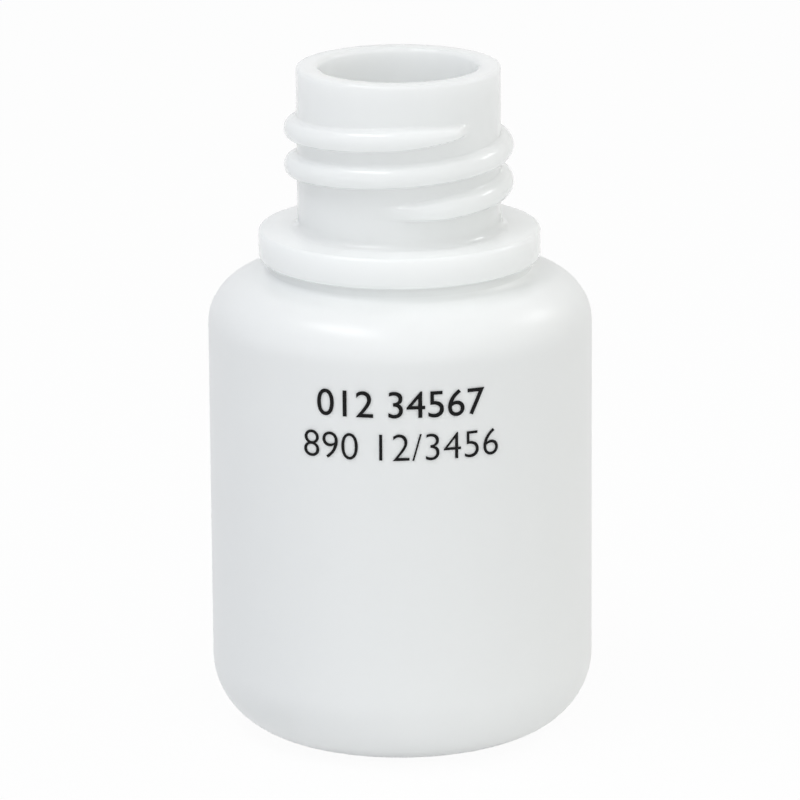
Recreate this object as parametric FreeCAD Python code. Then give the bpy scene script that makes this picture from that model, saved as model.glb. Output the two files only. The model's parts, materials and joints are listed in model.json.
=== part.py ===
# Round squeeze bottle for contact lens solution, standing open, with its two-line print.
# Millimetres, +Z up along the axis, origin at the centre of the base, printed front towards -Y.
import FreeCAD
import Part
import math
import os

Vector = FreeCAD.Vector
AXIS = Vector(0, 0, 1)
ORIGIN = Vector(0, 0, 0)
FRONT_ANGLE = -90.0

# Body: a blown cylinder between a large heel radius and a rounded, slightly conical shoulder.
BODY_DIAMETER = 33.0
BODY_WALL = 1.0
BASE_WALL = 1.2
HEEL_RADIUS = 6.5
SHOULDER_HEIGHT = 40.5
SHOULDER_RADIUS = 4.2
SHOULDER_SLOPE = 10.0

# Base: a flat standing ring round a shallow push-up, with the preform's gate mark in its middle.
RING_WIDTH = 1.6
PUSH_UP_WALL = 1.3
PUSH_UP_EDGE = 0.8
PUSH_UP_CROWN = 1.3
PUSH_UP_ROUND = 0.7
GATE_DIAMETER = 1.8
GATE_HEIGHT = 0.25

# Collar: the flange that stops the cap's skirt, over a narrow groove above the shoulder.
GROOVE_HEIGHT = 1.1
GROOVE_ROUND = 1.0
COLLAR_DIAMETER = 24.2
COLLAR_HEIGHT = 2.7
COLLAR_OVERHANG = 0.9
COLLAR_LOWER_ROUND = 0.5
COLLAR_UPPER_ROUND = 0.35

# Neck: injection moulded, with a straight bore that takes a press-in dropper plug.
NECK_DIAMETER = 17.5
NECK_HEIGHT = 14.1
NECK_FOOT_ROUND = 0.7
BORE_DIAMETER = 13.6
BORE_FOOT_ROUND = 1.5
RIM_OUTER_ROUND = 0.3
RIM_INNER_ROUND = 0.4

# Thread: one right-hand ridge, blunt at its upper end and fading out at its lower one.
# Its crest starts this far below the rim, and its lower flank is the gentler one.
THREAD_PITCH = 3.175
THREAD_TURNS = 2.13
THREAD_TOP_DROP = 4.2
THREAD_TOP_ANGLE = -54.0
THREAD_HEIGHT = 1.08
THREAD_CREST_WIDTH = 1.1
THREAD_CREST_ROUND = 0.5
THREAD_UPPER_FLANK = 0.4
THREAD_LOWER_FLANK = 0.75
THREAD_SINK = 0.3
THREAD_TOP_RUN_OUT = 14.0
THREAD_LOWER_RUN_OUT = 48.0

# Print: two lines of ink marks, one mark per character, in groups parted by a space.
INK_FILM = 0.05
MARK_HEIGHT = 2.3
MARK_WIDTH = 1.35
MARK_STEP = 1.75
GROUP_SPACE = 0.8
UPPER_LINE_HEIGHT = 31.7
LINE_STEP = 3.7
UPPER_LINE_GROUPS = (3, 5)
LOWER_LINE_GROUPS = (3, 2, 4)

# Worked out from the sizes above.
BODY_RADIUS = BODY_DIAMETER / 2
NECK_RADIUS = NECK_DIAMETER / 2
COLLAR_BOTTOM = SHOULDER_HEIGHT + GROOVE_HEIGHT
COLLAR_TOP = COLLAR_BOTTOM + COLLAR_HEIGHT
RIM = COLLAR_TOP + NECK_HEIGHT


def rounded_wire(corners):
    """Closed wire in the XZ plane through (radius, height, round) corners, each eased by its round."""
    points = [Vector(radius, 0, height) for radius, height, _ in corners]
    bends = []
    for index, (_, _, ease) in enumerate(corners):
        corner = points[index]
        back = (points[index - 1] - corner).normalize()
        ahead = (points[(index + 1) % len(points)] - corner).normalize()
        half_angle = back.getAngle(ahead) / 2
        reach = ease / math.tan(half_angle)
        inset = ease / math.sin(half_angle) - ease
        middle = corner + (back + ahead).normalize() * inset
        bends.append((corner + back * reach, middle, corner + ahead * reach))
    edges = []
    for index, (enter, middle, leave) in enumerate(bends):
        if corners[index][2]:
            edges.append(Part.Arc(enter, middle, leave).toShape())
        next_enter = bends[(index + 1) % len(bends)][0]
        edges.append(Part.makeLine(leave, next_enter))
    return Part.Wire(edges)


def bottle_blank():
    """The moulded bottle without its thread: one wall section turned about the axis."""
    inside = BODY_RADIUS - BODY_WALL
    bore = BORE_DIAMETER / 2
    collar = COLLAR_DIAMETER / 2
    groove = collar - COLLAR_OVERHANG
    ring = BODY_RADIUS - HEEL_RADIUS - RING_WIDTH
    panel = ring - PUSH_UP_WALL
    gate = GATE_DIAMETER / 2
    gate_root = PUSH_UP_CROWN - (PUSH_UP_CROWN - PUSH_UP_EDGE) * gate / panel
    slope = math.radians(SHOULDER_SLOPE)
    wall_drop = BODY_WALL / math.cos(slope)

    def shoulder(radius):
        return SHOULDER_HEIGHT + (groove - radius) * math.tan(slope)

    outside_corners = [
        (0, PUSH_UP_CROWN - GATE_HEIGHT, 0),
        (gate, PUSH_UP_CROWN - GATE_HEIGHT, 0),
        (gate, gate_root, 0),
        (panel, PUSH_UP_EDGE, PUSH_UP_ROUND),
        (ring, 0, PUSH_UP_ROUND),
        (BODY_RADIUS, 0, HEEL_RADIUS),
        (BODY_RADIUS, shoulder(BODY_RADIUS), SHOULDER_RADIUS),
        (groove, SHOULDER_HEIGHT, GROOVE_ROUND),
        (groove, COLLAR_BOTTOM, 0),
        (collar, COLLAR_BOTTOM, COLLAR_LOWER_ROUND),
        (collar, COLLAR_TOP, COLLAR_UPPER_ROUND),
        (NECK_RADIUS, COLLAR_TOP, NECK_FOOT_ROUND),
        (NECK_RADIUS, RIM, RIM_OUTER_ROUND),
    ]
    inside_corners = [
        (bore, RIM, RIM_INNER_ROUND),
        (bore, shoulder(bore) - wall_drop, BORE_FOOT_ROUND),
        (inside, shoulder(inside) - wall_drop, SHOULDER_RADIUS - BODY_WALL),
        (inside, BASE_WALL, HEEL_RADIUS - BODY_WALL),
        (ring, BASE_WALL, PUSH_UP_ROUND),
        (panel, BASE_WALL + PUSH_UP_EDGE, PUSH_UP_ROUND),
        (0, BASE_WALL + PUSH_UP_CROWN, 0),
    ]
    section = Part.Face(rounded_wire(outside_corners + inside_corners))
    return section.revolve(ORIGIN, AXIS, 360)


def thread_section(turned, height):
    """The ridge's section after so many turns, its crest standing that high over the neck."""
    crest = THREAD_CREST_WIDTH / 2
    deeper = 1 + THREAD_SINK / THREAD_HEIGHT
    foot = NECK_RADIUS - THREAD_SINK
    top = NECK_RADIUS + THREAD_HEIGHT
    wire = rounded_wire([
        (foot, -crest - THREAD_LOWER_FLANK * deeper, 0),
        (top, -crest, THREAD_CREST_ROUND),
        (top, crest, THREAD_CREST_ROUND),
        (foot, crest + THREAD_UPPER_FLANK * deeper, 0),
    ])
    wire.translate(Vector(height - THREAD_HEIGHT, 0, 0))
    wire.rotate(ORIGIN, AXIS, turned * 360)
    wire.translate(AXIS * THREAD_PITCH * turned)
    return wire


def thread_run(start, turns, sections):
    """One stretch of the ridge, swept upright along its part of the helix."""
    spine = Part.makeHelix(THREAD_PITCH, THREAD_PITCH * turns, NECK_RADIUS)
    spine.rotate(ORIGIN, AXIS, start * 360)
    spine.translate(AXIS * THREAD_PITCH * start)
    sweep = Part.BRepOffsetAPI.MakePipeShell(spine)
    sweep.setBiNormalMode(AXIS)
    for section in sections:
        sweep.add(section, False, False)
    sweep.build()
    sweep.makeSolid()
    return sweep.shape()


def thread_runs():
    """The ridge up the neck: a full run, then its two ends, which sink into the wall."""
    lower = THREAD_LOWER_RUN_OUT / 360
    top = THREAD_TURNS - THREAD_TOP_RUN_OUT / 360
    low_full = thread_section(lower, THREAD_HEIGHT)
    top_full = thread_section(top, THREAD_HEIGHT)
    low_sunk = thread_section(0, -THREAD_SINK / 2)
    top_sunk = thread_section(THREAD_TURNS, -THREAD_SINK / 2)
    runs = [
        thread_run(lower, top - lower, [low_full]),
        thread_run(0, lower, [low_sunk, low_full]),
        thread_run(top, THREAD_TURNS - top, [top_full, top_sunk]),
    ]
    for run in runs:
        run.rotate(ORIGIN, AXIS, THREAD_TOP_ANGLE - THREAD_TURNS * 360)
        run.translate(AXIS * (RIM - THREAD_TOP_DROP - THREAD_TURNS * THREAD_PITCH))
    return runs


def bottle():
    """The whole bottle, with each run of the thread fused to the neck in turn."""
    shape = bottle_blank()
    for run in thread_runs():
        shape = shape.fuse(run)
    return shape


def ink_line(groups, foot):
    """A printed line: marks wrapped on the body wall, centred on the front."""
    steps = sum(groups) - 1
    spaces = len(groups) - 1
    length = steps * MARK_STEP + MARK_WIDTH + spaces * GROUP_SPACE
    film = Part.Face(rounded_wire([
        (BODY_RADIUS, foot, 0),
        (BODY_RADIUS + INK_FILM, foot, 0),
        (BODY_RADIUS + INK_FILM, foot + MARK_HEIGHT, 0),
        (BODY_RADIUS, foot + MARK_HEIGHT, 0),
    ]))
    marks = []
    along = -length / 2
    for group in groups:
        for _ in range(group):
            mark = film.revolve(ORIGIN, AXIS, math.degrees(MARK_WIDTH / BODY_RADIUS))
            mark.rotate(ORIGIN, AXIS, FRONT_ANGLE + math.degrees(along / BODY_RADIUS))
            marks.append(mark)
            along += MARK_STEP
        along += GROUP_SPACE
    return Part.makeCompound(marks)


def main():
    os.makedirs("parts", exist_ok=True)
    nodes = {
        "bottle": bottle(),
        "code_line_upper": ink_line(UPPER_LINE_GROUPS, UPPER_LINE_HEIGHT),
        "code_line_lower": ink_line(LOWER_LINE_GROUPS, UPPER_LINE_HEIGHT - LINE_STEP),
    }
    for name, shape in nodes.items():
        shape.exportStep("parts/" + name + ".step")
        print(name, "solids", len(shape.Solids), "volume", round(shape.Volume, 2), "valid", shape.isValid())


main()
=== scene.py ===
# %% [markdown]
# # A small squeeze bottle, standing open
# The bottle is one piece of natural polyethylene: a blown body under an injection moulded neck.
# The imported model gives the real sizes, so everything here is drawn round it, in metres, +Z up.

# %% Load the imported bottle
import json
import math
import bmesh
import bpy
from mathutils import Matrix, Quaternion, Vector


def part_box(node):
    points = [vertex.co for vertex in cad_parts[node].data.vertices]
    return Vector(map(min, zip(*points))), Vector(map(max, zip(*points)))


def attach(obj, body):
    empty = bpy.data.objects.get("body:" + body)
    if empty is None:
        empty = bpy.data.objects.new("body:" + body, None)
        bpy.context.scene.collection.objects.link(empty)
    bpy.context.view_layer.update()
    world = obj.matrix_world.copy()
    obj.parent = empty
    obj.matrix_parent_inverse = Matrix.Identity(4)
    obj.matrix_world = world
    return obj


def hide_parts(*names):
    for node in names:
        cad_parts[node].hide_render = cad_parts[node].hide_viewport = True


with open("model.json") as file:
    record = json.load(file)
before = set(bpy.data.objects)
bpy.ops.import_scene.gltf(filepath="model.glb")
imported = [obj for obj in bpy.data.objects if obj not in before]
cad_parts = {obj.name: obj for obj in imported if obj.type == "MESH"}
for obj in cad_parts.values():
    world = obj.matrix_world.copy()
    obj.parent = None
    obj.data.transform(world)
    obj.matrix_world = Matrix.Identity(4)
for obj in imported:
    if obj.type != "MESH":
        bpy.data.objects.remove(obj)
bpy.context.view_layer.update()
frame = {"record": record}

scene = bpy.context.scene
scene.view_settings.view_transform = "Standard"
MM = 0.001

# %% [markdown]
# ## The camera
# The photograph was taken with a long lens from a little above, which keeps the neck's circles shallow.
# A camera could be set by eye, but the outline of a round bottle gives its place: the ellipse of the
# rim tells the height, and how the circles open from rim to base tells the distance.

# %% Camera at the photograph's place
CAMERA_PLACE = Vector((-0.06, -519.6, 169.9)) * MM
CAMERA_TARGET = Vector((-0.06, 0.0, 28.82)) * MM
CAMERA_ROLL = math.radians(-0.42)
CAMERA_LENS = 280.5
SENSOR_WIDTH = 36.0


def turn_towards(place, target):
    """The rotation of a camera or lamp that looks from its place to a target."""
    return (target - place).to_track_quat("-Z", "Y")


camera_data = bpy.data.cameras.new("photo_camera")
camera_data.lens = CAMERA_LENS
camera_data.sensor_width = SENSOR_WIDTH
camera = bpy.data.objects.new("photo_camera", camera_data)
scene.collection.objects.link(camera)
camera.location = CAMERA_PLACE
roll = Quaternion((0, 0, 1), CAMERA_ROLL)
camera.rotation_euler = (turn_towards(CAMERA_PLACE, CAMERA_TARGET) @ roll).to_euler()
scene.camera = camera
print("camera distance, mm", round((CAMERA_PLACE - CAMERA_TARGET).length / MM))

# %% [markdown]
# ## Colours and nodes
# Colours are easiest to read as the hex values of a paint chart, but a shader works in linear light.
# One function turns the one into the other, and one adds a node with its settings and its links, so
# that a material reads as a short list.

# %% Colour and node helpers
# A Mix node that blends colours keeps the two of them in these inputs, and the blend in this output.
FIRST_COLOUR = 6
SECOND_COLOUR = 7
BLEND = 2
WHITE = (1, 1, 1, 1)


def linear(hex_colour):
    """An sRGB hex colour as linear red, green, blue and alpha."""
    values = []
    for start in (0, 2, 4):
        part = int(hex_colour[start:start + 2], 16) / 255
        values.append(part / 12.92 if part <= 0.04045 else ((part + 0.055) / 1.055) ** 2.4)
    return (*values, 1.0)


def add_node(tree, kind, settings=None, links=None):
    """A new node; a setting is an input socket's value or an attribute, and a link feeds an input."""
    node = tree.nodes.new(kind)
    for name, value in (settings or {}).items():
        if isinstance(name, int) or name in node.inputs:
            node.inputs[name].default_value = value
        else:
            setattr(node, name, value)
    for name, source in (links or {}).items():
        tree.links.new(source, node.inputs[name])
    return node


def new_material(name):
    """An empty node material and its output node."""
    material = bpy.data.materials.new(name)
    material.use_nodes = True
    material.node_tree.nodes.clear()
    return material, material.node_tree.nodes.new("ShaderNodeOutputMaterial")


print("mid grey in linear light", [round(value, 3) for value in linear("808080")[:3]])

# %% [markdown]
# ## White studio
# The bottle stands on white paper in a white room. An evenly lit room would leave the bottle without
# form, so the room is white to the eye and to reflections, but its light on the wall comes mostly from
# the front and above, as from a wide window, a little cooler from the left. The floor keeps the shadow
# where the base meets it.

# %% What the eye sees as white, and bearings
def seen_white(tree):
    """One where the ray is the camera's, a reflection's or a transmitted one, and nought elsewhere."""
    path = add_node(tree, "ShaderNodeLightPath")
    mirrored = add_node(tree, "ShaderNodeMath", {"operation": "MAXIMUM"}, {
        0: path.outputs["Is Camera Ray"], 1: path.outputs["Is Glossy Ray"]})
    through = add_node(tree, "ShaderNodeMath", {"operation": "MAXIMUM"}, {
        0: mirrored.outputs[0], 1: path.outputs["Is Transmission Ray"]})
    return through.outputs[0]


def bearing_vector(bearing, height):
    """A unit direction by its bearing from the front towards the right, and its height."""
    level_part = Vector((math.sin(bearing), -math.cos(bearing), 0)) * math.cos(height)
    return level_part + Vector((0, 0, math.sin(height)))


print("straight ahead of the print", list(bearing_vector(0, 0)))

# %% Room light
ROOM_LIGHT = 0.39
KEY_LIGHT = 0.92
KEY_BEARING = math.radians(11)
KEY_HEIGHT = math.radians(36)
KEY_NARROWING = 2.0
LEFT_TINT = linear("EEF5FF")
RIGHT_TINT = linear("FFFFF7")

world = bpy.data.worlds.new("white_room")
scene.world = world
world.use_nodes = True
room = world.node_tree
room.nodes.clear()
seen = seen_white(room)
direction = add_node(room, "ShaderNodeTexCoord").outputs["Generated"]
# The window: brightest where the direction meets the key's own, and none of it behind.
towards = add_node(room, "ShaderNodeVectorMath", {
    "operation": "DOT_PRODUCT", 1: bearing_vector(KEY_BEARING, KEY_HEIGHT)}, {0: direction})
ahead = add_node(room, "ShaderNodeMath", {"operation": "MAXIMUM", 1: 0.0}, {0: towards.outputs["Value"]})
window = add_node(room, "ShaderNodeMath", {"operation": "POWER", 1: KEY_NARROWING}, {0: ahead.outputs[0]})
lit = add_node(room, "ShaderNodeMapRange", {
    "To Min": ROOM_LIGHT, "To Max": ROOM_LIGHT + KEY_LIGHT}, {"Value": window.outputs[0]})
strength = add_node(room, "ShaderNodeMapRange", {"To Max": 1.0}, {
    "Value": seen, "To Min": lit.outputs[0]})
# The tint: from one side of the room to the other.
sides = add_node(room, "ShaderNodeSeparateXYZ", links={"Vector": direction})
across = add_node(room, "ShaderNodeMapRange", {"From Min": -1.0}, {"Value": sides.outputs["X"]})
tint = add_node(room, "ShaderNodeMix", {
    "data_type": "RGBA", FIRST_COLOUR: LEFT_TINT, SECOND_COLOUR: RIGHT_TINT}, {0: across.outputs[0]})
colour = add_node(room, "ShaderNodeMix", {"data_type": "RGBA", SECOND_COLOUR: WHITE}, {
    0: seen, FIRST_COLOUR: tint.outputs[BLEND]})
background = add_node(room, "ShaderNodeBackground", links={
    "Color": colour.outputs[BLEND], "Strength": strength.outputs[0]})
add_node(room, "ShaderNodeOutputWorld", links={"Surface": background.outputs[0]})
print("room light from", ROOM_LIGHT, "to", ROOM_LIGHT + KEY_LIGHT)

# %% Paper floor
FLOOR_SIZE = 3.0
FLOOR_GLOW = 0.95
PAPER_WHITE = linear("F2F2F2")

# Matt paper, which takes the shadow, under a glow that only the eye and reflections see.
paper, paper_output = new_material("white_paper_matt")
sheet = paper.node_tree
matt = add_node(sheet, "ShaderNodeBsdfDiffuse", {"Color": PAPER_WHITE})
glow = add_node(sheet, "ShaderNodeEmission", {"Color": WHITE})
share = add_node(sheet, "ShaderNodeMath", {"operation": "MULTIPLY", 1: FLOOR_GLOW}, {0: seen_white(sheet)})
mixed = add_node(sheet, "ShaderNodeMixShader", links={
    "Fac": share.outputs[0], 1: matt.outputs[0], 2: glow.outputs[0]})
sheet.links.new(mixed.outputs[0], paper_output.inputs["Surface"])

floor_mesh = bmesh.new()
bmesh.ops.create_grid(floor_mesh, x_segments=1, y_segments=1, size=FLOOR_SIZE / 2)
floor_data = bpy.data.meshes.new("floor")
floor_mesh.to_mesh(floor_data)
floor_mesh.free()
floor_data.materials.append(paper)
floor = bpy.data.objects.new("floor", floor_data)
scene.collection.objects.link(floor)
print("floor", FLOOR_SIZE, "m square")

# %% [markdown]
# ## Softboxes
# Two soft lamps make the marks that the photograph shows: one high on the left, whose reflection lies
# along the shoulder, the collar's edge and each turn of the thread, and one behind on the right, which
# catches the right shoulder. Area lamps are used because their size sets how wide a highlight is.

# %% Lamps round the bottle
LAMP_AIM = Vector((0, 0, 32.0)) * MM
# Bearing from the front towards the right and height above the floor in degrees, lengths in mm.
SOFTBOXES = {
    "left": {
        "bearing": -55.0, "height": 62.0, "distance": 320.0,
        "width": 190.0, "depth": 40.0, "level": 0.23},
    "right": {
        "bearing": 112.0, "height": 37.0, "distance": 360.0,
        "width": 110.0, "depth": 60.0, "level": 0.085},
}


def add_softbox(name, bearing, height, distance, width, depth, level):
    """A rectangular area lamp that gives a white wall facing it that level of brightness."""
    place = LAMP_AIM + bearing_vector(math.radians(bearing), math.radians(height)) * distance * MM
    lamp = bpy.data.lights.new("softbox_" + name, "AREA")
    lamp.shape = "RECTANGLE"
    lamp.size = width * MM
    lamp.size_y = depth * MM
    lamp.energy = level * math.pi ** 2 * (distance * MM) ** 2
    softbox = bpy.data.objects.new("softbox_" + name, lamp)
    softbox.location = place
    softbox.rotation_euler = turn_towards(place, LAMP_AIM).to_euler()
    scene.collection.objects.link(softbox)
    return softbox


for name, values in SOFTBOXES.items():
    softbox = add_softbox(name, **values)
    print(softbox.name, "energy", round(softbox.data.energy, 3))

# %% [markdown]
# ## The wall's section
# A round bottle is one outline turned about its axis. The outline could be typed in point by point, but
# a draughtsman draws straight lines first and eases the corners after, and so does this: a wire goes
# through the sharp corners, and a vertex bevel rounds each corner by its own radius.

# %% Sizes of the body and its base, in mm
mounts = {mount["name"]: mount for mount in frame["record"]["mounts"]}
bottle_low, bottle_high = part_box("bottle")
RIM = bottle_high.z / MM
BODY_RADIUS = mounts["body_grip"]["dims"]["r_mm"]
BODY_WALL = 1.0
BASE_WALL = 1.2
HEEL_ROUND = 6.5
SHOULDER_HEIGHT = 40.5
SHOULDER_ROUND = 4.2
SHOULDER_SLOPE = math.radians(10)
RING_WIDTH = 1.6
PUSH_UP_WALL = 1.3
PUSH_UP_EDGE = 0.8
PUSH_UP_CROWN = 1.3
PUSH_UP_ROUND = 0.7
GATE_RADIUS = 0.9
GATE_HEIGHT = 0.25
GATE_ROUND = 0.1
RING_RADIUS = BODY_RADIUS - HEEL_ROUND - RING_WIDTH
PANEL_RADIUS = RING_RADIUS - PUSH_UP_WALL
print("rim", round(RIM, 2), "body radius", BODY_RADIUS)

# %% Sizes of the collar and the neck, in mm
BORE_RADIUS = mounts["neck_bore"]["dims"]["r_mm"]
BORE_FOOT_ROUND = 1.5
NECK_RADIUS = 8.75
NECK_FOOT_ROUND = 0.7
RIM_OUTER_ROUND = 0.3
RIM_INNER_ROUND = 0.4
COLLAR_RADIUS = 12.1
COLLAR_OVERHANG = 0.9
COLLAR_HEIGHT = 2.7
COLLAR_LOWER_ROUND = 0.5
COLLAR_UPPER_ROUND = 0.35
GROOVE_HEIGHT = 1.1
GROOVE_ROUND = 1.0
GROOVE_TOP_ROUND = 0.15
GROOVE_RADIUS = COLLAR_RADIUS - COLLAR_OVERHANG
COLLAR_BOTTOM = SHOULDER_HEIGHT + GROOVE_HEIGHT
COLLAR_TOP = COLLAR_BOTTOM + COLLAR_HEIGHT
print("bore radius", BORE_RADIUS, "collar from", COLLAR_BOTTOM, "to", COLLAR_TOP)

# %% The section's corners, outside from the gate mark up to the rim, then down the inside
WALL_DROP = BODY_WALL / math.cos(SHOULDER_SLOPE)
INSIDE_RADIUS = BODY_RADIUS - BODY_WALL
GATE_ROOT = PUSH_UP_CROWN - (PUSH_UP_CROWN - PUSH_UP_EDGE) * GATE_RADIUS / PANEL_RADIUS


def shoulder(radius):
    """Height of the outer shoulder cone at a radius."""
    return SHOULDER_HEIGHT + (GROOVE_RADIUS - radius) * math.tan(SHOULDER_SLOPE)


CORNERS = [
    (0, PUSH_UP_CROWN - GATE_HEIGHT, 0),
    (GATE_RADIUS, PUSH_UP_CROWN - GATE_HEIGHT, GATE_ROUND),
    (GATE_RADIUS, GATE_ROOT, GATE_ROUND),
    (PANEL_RADIUS, PUSH_UP_EDGE, PUSH_UP_ROUND),
    (RING_RADIUS, 0, PUSH_UP_ROUND),
    (BODY_RADIUS, 0, HEEL_ROUND),
    (BODY_RADIUS, shoulder(BODY_RADIUS), SHOULDER_ROUND),
    (GROOVE_RADIUS, SHOULDER_HEIGHT, GROOVE_ROUND),
    (GROOVE_RADIUS, COLLAR_BOTTOM, GROOVE_TOP_ROUND),
    (COLLAR_RADIUS, COLLAR_BOTTOM, COLLAR_LOWER_ROUND),
    (COLLAR_RADIUS, COLLAR_TOP, COLLAR_UPPER_ROUND),
    (NECK_RADIUS, COLLAR_TOP, NECK_FOOT_ROUND),
    (NECK_RADIUS, RIM, RIM_OUTER_ROUND),
    (BORE_RADIUS, RIM, RIM_INNER_ROUND),
    (BORE_RADIUS, shoulder(BORE_RADIUS) - WALL_DROP, BORE_FOOT_ROUND),
    (INSIDE_RADIUS, shoulder(INSIDE_RADIUS) - WALL_DROP, SHOULDER_ROUND - BODY_WALL),
    (INSIDE_RADIUS, BASE_WALL, HEEL_ROUND - BODY_WALL),
    (RING_RADIUS, BASE_WALL, PUSH_UP_ROUND),
    (PANEL_RADIUS, BASE_WALL + PUSH_UP_EDGE, PUSH_UP_ROUND),
    (0, BASE_WALL + PUSH_UP_CROWN, 0),
]
print("section corners", len(CORNERS))

# %% Draw the section
ARC_STEP = 0.3
FEWEST_ARC_STEPS = 4


def draw_section(corners):
    """A wire through (radius, height, round) corners, in mm on the XZ plane, with each corner eased."""
    drawing = bmesh.new()
    points = [drawing.verts.new((radius, 0, height)) for radius, height, _ in corners]
    for start, end in zip(points, points[1:]):
        drawing.edges.new((start, end))
    bends = []
    for (_, _, ease), before, point, after in zip(corners[1:], points, points[1:], points[2:]):
        bends.append((point, ease, (before.co - point.co).angle(after.co - point.co)))
    for point, ease, turn in bends:
        if ease:
            steps = max(FEWEST_ARC_STEPS, round(ease * (math.pi - turn) / ARC_STEP))
            bmesh.ops.bevel(
                drawing, geom=[point], offset=ease / math.tan(turn / 2), offset_type="OFFSET",
                affect="VERTICES", segments=steps, profile=0.5, material=-1)
    return drawing


bottle_shape = draw_section(CORNERS)
print("section points", len(bottle_shape.verts))

# %% [markdown]
# ## Turning the bottle and raising its thread
# The section is spun once round the axis, which closes the wall inside and out. The thread could be a
# second shape joined to the neck, but the real one is the same plastic, and light that spreads inside
# the wall would show the joint. So the neck's wall gets close rows and the ridge is raised out of it:
# one right-hand ridge, round in section, which narrows and sinks into the neck at both ends.

# %% Close rows where the surface needs them
NECK_ROW = 0.11
BODY_ROW = 1.2
# How near to a wall's radius a point counts as on it.
ON_THE_WALL = 0.002


def add_rows(drawing, radius, spacing):
    """Divides the long upright edges at a radius into rows of that spacing."""
    for edge in [edge for edge in drawing.edges if edge.calc_length() > 2 * spacing]:
        if all(abs(point.co.x - radius) < ON_THE_WALL for point in edge.verts):
            cuts = round(edge.calc_length() / spacing) - 1
            bmesh.ops.subdivide_edges(drawing, edges=[edge], cuts=cuts)


add_rows(bottle_shape, NECK_RADIUS, NECK_ROW)
add_rows(bottle_shape, BODY_RADIUS, BODY_ROW)
print("section points with rows", len(bottle_shape.verts))

# %% Spin the section
SPIN_STEPS = 288
MERGE_GAP = 0.0005

bmesh.ops.spin(
    bottle_shape, geom=bottle_shape.verts[:] + bottle_shape.edges[:], cent=(0, 0, 0), axis=(0, 0, 1),
    dvec=(0, 0, 0), angle=2 * math.pi, steps=SPIN_STEPS, use_merge=True)
bmesh.ops.remove_doubles(bottle_shape, verts=bottle_shape.verts[:], dist=MERGE_GAP)
bmesh.ops.recalc_face_normals(bottle_shape, faces=bottle_shape.faces[:])
print("bottle faces", len(bottle_shape.faces), "volume", round(bottle_shape.calc_volume(), 1), "mm3")

# %% The thread's ridge, in mm and degrees
THREAD_PITCH = 3.175
THREAD_TOP_ANGLE = -46.0
THREAD_TOP_DROP = 4.2
THREAD_SWEEP = 778.0
# Turns that the ridge can reach into, seen from any angle.
THREAD_TURNS = math.ceil(THREAD_SWEEP / 360) + 1
THREAD_HEIGHT = 1.08
THREAD_HALF_WIDTH = 1.06
THREAD_TIP_HALF_WIDTH = 0.6
THREAD_ROOT_EASE = 0.25
# How far from its ends the ridge has its full width, and its full height.
THREAD_TAPER = 45.0
THREAD_TOP_FADE = 16.0
THREAD_LOWER_FADE = 40.0


def ease_in(share):
    """Nought to one along an S-shaped curve."""
    share = min(max(share, 0), 1)
    return share * share * (3 - 2 * share)


def ridge_height(angle, height):
    """How far the ridge stands out of the neck at an angle in degrees and a height in mm."""
    best = 0.0
    for turn in range(THREAD_TURNS):
        wound = THREAD_TOP_ANGLE - angle + 360 * turn
        left_over = THREAD_SWEEP - wound
        if wound < 0 or left_over < 0:
            continue
        taper = ease_in(min(wound, left_over) / THREAD_TAPER)
        half_width = THREAD_TIP_HALF_WIDTH + (THREAD_HALF_WIDTH - THREAD_TIP_HALF_WIDTH) * taper
        away = abs(height - (RIM - THREAD_TOP_DROP - THREAD_PITCH * wound / 360))
        if away >= half_width:
            continue
        ends = min(ease_in(wound / THREAD_TOP_FADE), ease_in(left_over / THREAD_LOWER_FADE))
        bulge = math.sqrt(1 - (away / half_width) ** 2)
        root = ease_in((half_width - away) / THREAD_ROOT_EASE)
        best = max(best, THREAD_HEIGHT * ends * bulge * root)
    return best


print("thread turns", round(THREAD_SWEEP / 360, 2))

# %% Raise the ridge out of the neck
PLAIN_RIM = 1.0
THREAD_FOOT = COLLAR_TOP + NECK_FOOT_ROUND
THREAD_HEAD = RIM - PLAIN_RIM

raised = 0
for point in bottle_shape.verts:
    radius = math.hypot(point.co.x, point.co.y)
    if abs(radius - NECK_RADIUS) > ON_THE_WALL or not THREAD_FOOT < point.co.z < THREAD_HEAD:
        continue
    angle = math.degrees(math.atan2(point.co.y, point.co.x))
    wanted = (radius + ridge_height(angle, point.co.z)) / radius
    point.co.x *= wanted
    point.co.y *= wanted
    raised += 1
print("neck points", raised)

# %% [markdown]
# ## Natural low-density polyethylene
# The plastic has no pigment: light goes in, scatters on fine crystals and comes out again all round,
# which gives a milky white without hard shade. A plain diffuse colour would look like chalk, so the
# light is let into the wall: half a millimetre in the thin body, a few in the solid neck. The neck
# comes off polished steel and is glossy, the blown body off a blasted mould and is satin.

# %% Polyethylene material
BODY_ROUGHNESS = 0.33
NECK_ROUGHNESS = 0.14
BODY_SPREAD = 0.5
NECK_SPREAD = 4.0
MILK_DEEP = linear("F6F9F8")
MILK_PALE = linear("FBFDFC")
CLOUD_SIZE = 5.0
WAVE_SIZE = 3.0
WAVE_DEPTH = 0.02
WAVE_STRENGTH = 0.4
PATTERN_DETAIL = 2.0
POLYETHYLENE_IOR = 1.51


def pattern(tree, size, place):
    """A soft noise pattern with lumps of about that size in mm."""
    return add_node(tree, "ShaderNodeTexNoise", {
        "Scale": 1 / (size * MM), "Detail": PATTERN_DETAIL}, {"Vector": place})


natural, natural_output = new_material("natural_ldpe_moulded")
plastic = natural.node_tree
place = add_node(plastic, "ShaderNodeTexCoord").outputs["Object"]
up = add_node(plastic, "ShaderNodeSeparateXYZ", links={"Vector": place}).outputs["Z"]
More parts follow.
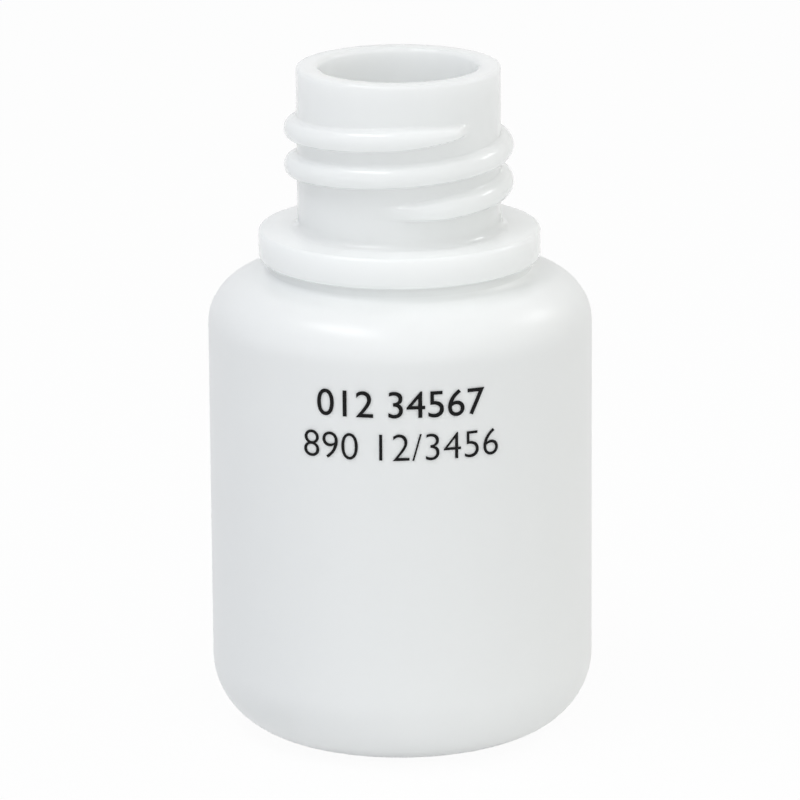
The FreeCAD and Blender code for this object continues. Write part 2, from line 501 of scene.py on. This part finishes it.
# Satin where the wall was blown against the mould, shinier on the injected neck.
roughness = add_node(plastic, "ShaderNodeMapRange", {
    "From Min": SHOULDER_HEIGHT * MM, "From Max": COLLAR_BOTTOM * MM,
    "To Min": BODY_ROUGHNESS, "To Max": NECK_ROUGHNESS}, {"Value": up})
# The thick collar and neck carry light further inside than the thin body wall.
spread = add_node(plastic, "ShaderNodeMapRange", {
    "From Min": COLLAR_BOTTOM * MM, "From Max": COLLAR_TOP * MM,
    "To Min": BODY_SPREAD * MM, "To Max": NECK_SPREAD * MM}, {"Value": up})
# Faint clouds, where the wall came out a little thicker or thinner.
clouds = pattern(plastic, CLOUD_SIZE, place)
milk = add_node(plastic, "ShaderNodeMix", {
    "data_type": "RGBA", FIRST_COLOUR: MILK_DEEP, SECOND_COLOUR: MILK_PALE}, {0: clouds.outputs[0]})
# Shallow waves left by the cooling wall, seen only in the edge of a highlight.
waves = pattern(plastic, WAVE_SIZE, place)
skin = add_node(plastic, "ShaderNodeBump", {
    "Strength": WAVE_STRENGTH, "Distance": WAVE_DEPTH * MM}, {"Height": waves.outputs[0]})
wall = add_node(plastic, "ShaderNodeBsdfPrincipled", {
    "IOR": POLYETHYLENE_IOR, "Subsurface Weight": 1.0, "Subsurface Radius": (1.0, 1.0, 1.0),
}, {
    "Base Color": milk.outputs[BLEND], "Roughness": roughness.outputs[0],
    "Subsurface Scale": spread.outputs[0], "Normal": skin.outputs[0],
})
plastic.links.new(wall.outputs[0], natural_output.inputs["Surface"])
print("polyethylene nodes", len(plastic.nodes))

# %% Finish the bottle
def finish_piece(shape, name, material):
    """Turns a bmesh in mm into a smooth-shaded piece at the origin, in metres."""
    bmesh.ops.scale(shape, vec=(MM, MM, MM), verts=shape.verts[:])
    data = bpy.data.meshes.new(name)
    shape.to_mesh(data)
    shape.free()
    data.shade_smooth()
    data.materials.append(material)
    piece = bpy.data.objects.new(name, data)
    scene.collection.objects.link(piece)
    return piece


bottle = finish_piece(bottle_shape, "bottle_wall", natural)
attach(bottle, "root")
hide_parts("bottle")
print("bottle piece", len(bottle.data.polygons), "faces")

# %% [markdown]
# ## Two printed lines
# The print is a film of black ink, thinner than a hair, laid straight on the curved wall. It could be a
# picture on the plastic, but real outlines stay sharp from close by. Plain numerals are set as text,
# made a mesh, cut into narrow strips so that they can bend, and wrapped on the wall.

# %% Ink material
INK_BLACK = linear("0A0A0B")
INK_ROUGHNESS = 0.6
INK_SHINE = 0.2

# Dried marking ink: a deep, dull black with hardly any shine.
ink, ink_output = new_material("black_ink_film")
film = ink.node_tree
coat = add_node(film, "ShaderNodeBsdfPrincipled", {
    "Base Color": INK_BLACK, "Roughness": INK_ROUGHNESS, "Specular IOR Level": INK_SHINE})
film.links.new(coat.outputs[0], ink_output.inputs["Surface"])
print("ink nodes", len(film.nodes))

# %% Set the numerals flat
def set_numerals(name, numerals, stroke):
    """The numerals as a flat bmesh at the type's own size, their strokes made heavier or lighter."""
    text = bpy.data.curves.new(name, "FONT")
    text.body = numerals
    text.offset = stroke
    setting = bpy.data.objects.new(name + "_setting", text)
    scene.collection.objects.link(setting)
    bpy.context.view_layer.update()
    flat = bpy.data.meshes.new_from_object(setting.evaluated_get(bpy.context.evaluated_depsgraph_get()))
    bpy.data.objects.remove(setting)
    shape = bmesh.new()
    shape.from_mesh(flat)
    bpy.data.meshes.remove(flat)
    print(name, "flat points", len(shape.verts))
    return shape


def fit_numerals(shape, start, end, foot, head):
    """Stretches flat numerals over a length along the wall and between two heights, in mm."""
    left = min(point.co.x for point in shape.verts)
    right = max(point.co.x for point in shape.verts)
    low = min(point.co.y for point in shape.verts)
    high = max(point.co.y for point in shape.verts)
    stretch = (end - start) / (right - left)
    rise = (head - foot) / (high - low)
    bmesh.ops.translate(shape, vec=(-left, -low, 0), verts=shape.verts[:])
    bmesh.ops.scale(shape, vec=(stretch, rise, 1), verts=shape.verts[:])
    bmesh.ops.translate(shape, vec=(start, foot, 0), verts=shape.verts[:])


# %% Thicken and wrap the film
INK_FILM = 0.04
INK_SINK = 0.03
STRIP_WIDTH = 0.3


def thicken_film(shape, start, end):
    """Cuts flat numerals into strips that can bend, and gives them the film's thickness."""
    for step in range(1, round((end - start) / STRIP_WIDTH)):
        bmesh.ops.bisect_plane(
            shape, geom=shape.verts[:] + shape.edges[:] + shape.faces[:],
            plane_co=(start + step * STRIP_WIDTH, 0, 0), plane_no=(1, 0, 0))
    bmesh.ops.remove_doubles(shape, verts=shape.verts[:], dist=MERGE_GAP)
    grown = bmesh.ops.extrude_face_region(shape, geom=shape.faces[:])
    front = [item for item in grown["geom"] if isinstance(item, bmesh.types.BMVert)]
    bmesh.ops.translate(shape, vec=(0, 0, INK_FILM + INK_SINK), verts=front)
    bmesh.ops.recalc_face_normals(shape, faces=shape.faces[:])


def wrap_on_wall(shape):
    """Bends the film round the front of the body, its back a little inside the wall."""
    for point in shape.verts:
        along, height, out = point.co
        reach = BODY_RADIUS - INK_SINK + out
        bend = along / BODY_RADIUS
        point.co = Vector((reach * math.sin(bend), -reach * math.cos(bend), height))
    bmesh.ops.recalc_face_normals(shape, faces=shape.faces[:])


print("film", INK_FILM, "mm over the wall and", INK_SINK, "mm in it")

# %% Print both lines
# The upper line as the type is drawn, the lower one a little lighter.
UPPER_STROKE = 0.0
LOWER_STROKE = -0.012


def print_line(name, node, numerals, stroke):
    """A line of numerals in the CAD mark's own place: as long, as tall and on the same wall."""
    low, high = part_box(node)
    start = math.asin(low.x / MM / BODY_RADIUS) * BODY_RADIUS
    end = math.asin(high.x / MM / BODY_RADIUS) * BODY_RADIUS
    shape = set_numerals(name, numerals, stroke)
    fit_numerals(shape, start, end, low.z / MM, high.z / MM)
    thicken_film(shape, start, end)
    wrap_on_wall(shape)
    piece = finish_piece(shape, name, ink)
    piece.data.shade_flat()
    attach(piece, "root")
    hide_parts(node)
    print(name, len(piece.data.polygons), "faces, length", round(end - start, 2), "mm")
    return piece


print_line("numerals_upper", "code_line_upper", "012 34567", UPPER_STROKE)
print_line("numerals_lower", "code_line_lower", "890 12/3456", LOWER_STROKE)
